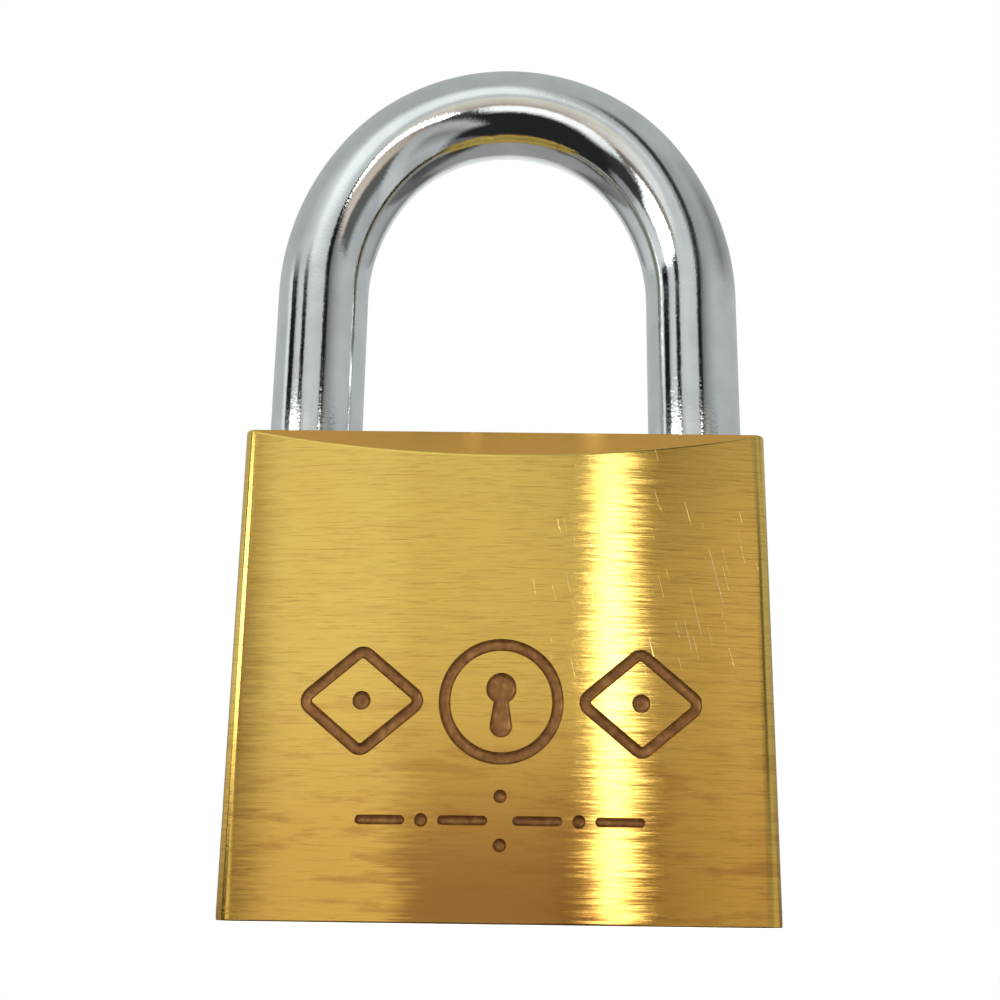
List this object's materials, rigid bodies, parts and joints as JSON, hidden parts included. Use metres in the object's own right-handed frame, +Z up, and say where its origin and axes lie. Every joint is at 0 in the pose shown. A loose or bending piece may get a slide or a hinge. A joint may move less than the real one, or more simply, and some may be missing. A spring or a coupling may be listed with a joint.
{
  "type": "padlock",
  "caption": "Keyed padlock: a brushed brass block with crowned faces and engraved ornament, a round steel shackle on top, and the key plug in its underside.",
  "frame": {"origin": "middle of the body's flat underside, where the key goes in", "axes": "+Z up along the shackle's legs, +X from the heel leg to the toe leg, -Y out of the engraved front face"},
  "size_m": [0.05, 0.017, 0.0882],
  "materials": {
    "body_brass": "brushed",
    "shackle_steel": "polished",
    "bolt_steel": "ground",
    "spring_steel": "drawn wire",
    "plug_brass": "turned",
    "pin_brass": "turned",
    "pin_steel": "nickel plated"
  },
  "bodies": {
    "body": {"body": "body_brass", "bolt_bore_cap": "body_brass", "plug_retaining_pin": "bolt_steel", "chamber_caps": "body_brass", "bolt_spring": "spring_steel", "shackle_spring": "spring_steel", "pin_spring_1": "spring_steel", "pin_spring_2": "spring_steel", "pin_spring_3": "spring_steel", "pin_spring_4": "spring_steel", "pin_spring_5": "spring_steel"},
    "shackle": {"shackle": "shackle_steel"},
    "plug": {"plug": "plug_brass", "cam": "bolt_steel"},
    "toe_bolt": {"toe_bolt": "bolt_steel"},
    "heel_bolt": {"heel_bolt": "bolt_steel"},
    "key_pin_1": {"key_pin_1": "pin_brass"},
    "key_pin_2": {"key_pin_2": "pin_brass"},
    "key_pin_3": {"key_pin_3": "pin_brass"},
    "key_pin_4": {"key_pin_4": "pin_brass"},
    "key_pin_5": {"key_pin_5": "pin_brass"},
    "driver_pin_1": {"driver_pin_1": "pin_steel"},
    "driver_pin_2": {"driver_pin_2": "pin_steel"},
    "driver_pin_3": {"driver_pin_3": "pin_steel"},
    "driver_pin_4": {"driver_pin_4": "pin_steel"},
    "driver_pin_5": {"driver_pin_5": "pin_steel"}
  },
  "joints": [
    {"name": "shackle_lift", "type": "slide", "parent": "body", "child": "shackle", "axis": [0, 0, 1], "range_m": [0, 0.0155], "deforming": ["shackle_spring"]},
    {"name": "plug_turn", "type": "hinge", "parent": "body", "child": "plug", "pos_m": [0, 0, 0.0003], "axis": [0, 0, 1], "range_deg": [-90, 0]},
    {"name": "toe_bolt_slide", "type": "slide", "parent": "body", "child": "toe_bolt", "axis": [1, 0, 0], "range_m": [0, 0.00241], "deforming": ["bolt_spring"]},
    {"name": "heel_bolt_slide", "type": "slide", "parent": "body", "child": "heel_bolt", "axis": [1, 0, 0], "range_m": [-0.00241, 0]},
    {"name": "key_pin_1_slide", "type": "slide", "parent": "plug", "child": "key_pin_1", "axis": [0, -1, 0], "range_m": [0, 0.0017]},
    {"name": "key_pin_2_slide", "type": "slide", "parent": "plug", "child": "key_pin_2", "axis": [0, -1, 0], "range_m": [0, 0.0025]},
    {"name": "key_pin_3_slide", "type": "slide", "parent": "plug", "child": "key_pin_3", "axis": [0, -1, 0], "range_m": [0, 0.0011]},
    {"name": "key_pin_4_slide", "type": "slide", "parent": "plug", "child": "key_pin_4", "axis": [0, -1, 0], "range_m": [0, 0.0029]},
    {"name": "key_pin_5_slide", "type": "slide", "parent": "plug", "child": "key_pin_5", "axis": [0, -1, 0], "range_m": [0, 0.0021]},
    {"name": "driver_pin_1_slide", "type": "slide", "parent": "body", "child": "driver_pin_1", "axis": [1, 0, 0], "range_m": [0, 0.003], "stiffness_N_per_m": 60, "springref_m": -0.002, "deforming": ["pin_spring_1"]},
    {"name": "driver_pin_2_slide", "type": "slide", "parent": "body", "child": "driver_pin_2", "axis": [1, 0, 0], "range_m": [0, 0.003], "stiffness_N_per_m": 60, "springref_m": -0.002, "deforming": ["pin_spring_2"]},
    {"name": "driver_pin_3_slide", "type": "slide", "parent": "body", "child": "driver_pin_3", "axis": [1, 0, 0], "range_m": [0, 0.003], "stiffness_N_per_m": 60, "springref_m": -0.002, "deforming": ["pin_spring_3"]},
    {"name": "driver_pin_4_slide", "type": "slide", "parent": "body", "child": "driver_pin_4", "axis": [1, 0, 0], "range_m": [0, 0.003], "stiffness_N_per_m": 60, "springref_m": -0.002, "deforming": ["pin_spring_4"]},
    {"name": "driver_pin_5_slide", "type": "slide", "parent": "body", "child": "driver_pin_5", "axis": [1, 0, 0], "range_m": [0, 0.003], "stiffness_N_per_m": 60, "springref_m": -0.002, "deforming": ["pin_spring_5"]}
  ],
  "couplings": [
    {"joint": "toe_bolt_slide", "follows": "plug_turn", "m_per_rad": -0.0015279},
    {"joint": "heel_bolt_slide", "follows": "plug_turn", "m_per_rad": 0.0015279}
  ]
}
